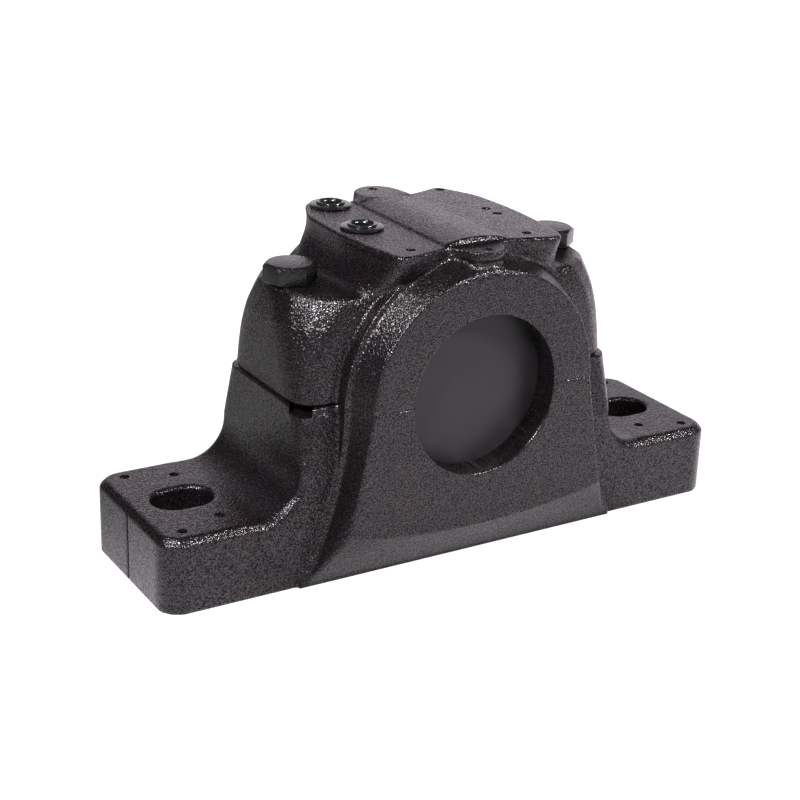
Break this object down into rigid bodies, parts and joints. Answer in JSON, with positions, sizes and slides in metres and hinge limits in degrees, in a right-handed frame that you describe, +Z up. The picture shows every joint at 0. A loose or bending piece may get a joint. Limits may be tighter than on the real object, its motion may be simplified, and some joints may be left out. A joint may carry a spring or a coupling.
{
  "type": "split plummer block",
  "caption": "Split cast housing for a shaft bearing, with a closed end cover, cap bolts and a slotted foot.",
  "frame": {"origin": "middle of the mounting face, under the bore", "axes": "+X along the foot, +Y along the shaft towards the open rear side, +Z up"},
  "size_m": [0.255, 0.096, 0.1292],
  "materials": {
    "painted_casting": "black semi-gloss paint over cast grain",
    "black_bolt": "black oxide",
    "black_plug": "glossy black",
    "bearing_steel": "ground",
    "machined_steel": "turned",
    "satin_cover": "satin",
    "seal_rubber": "matt",
    "cage_brass": "turned"
  },
  "bodies": {
    "housing": {"base": "painted_casting", "cap": "painted_casting", "cap_bolt_left": "black_bolt", "cap_bolt_right": "black_bolt", "dowel_pin_left": "bearing_steel", "dowel_pin_right": "bearing_steel", "lube_plug_centre": "black_plug", "lube_plug_side": "black_plug", "end_cover": "satin_cover", "end_cover_o_ring": "seal_rubber", "shaft_seal_upper": "seal_rubber", "shaft_seal_lower": "seal_rubber", "locating_ring_front": "machined_steel", "locating_ring_rear": "machined_steel", "outer_ring": "bearing_steel"},
    "shaft_group": {"inner_ring": "bearing_steel", "adapter_sleeve": "machined_steel", "lock_nut": "machined_steel", "lock_washer": "machined_steel"},
    "roller_set": {"cage": "cage_brass", "rollers": "bearing_steel"}
  },
  "joints": [
    {"name": "shaft_turn", "type": "hinge", "parent": "housing", "child": "shaft_group", "pos_m": [0, 0, 0.07], "axis": [0, 1, 0], "continuous": true},
    {"name": "cage_turn", "type": "hinge", "parent": "housing", "child": "roller_set", "pos_m": [0, 0, 0.07], "axis": [0, 1, 0], "continuous": true}
  ],
  "couplings": [
    {"joint": "cage_turn", "follows": "shaft_turn", "ratio": 0.4154}
  ]
}
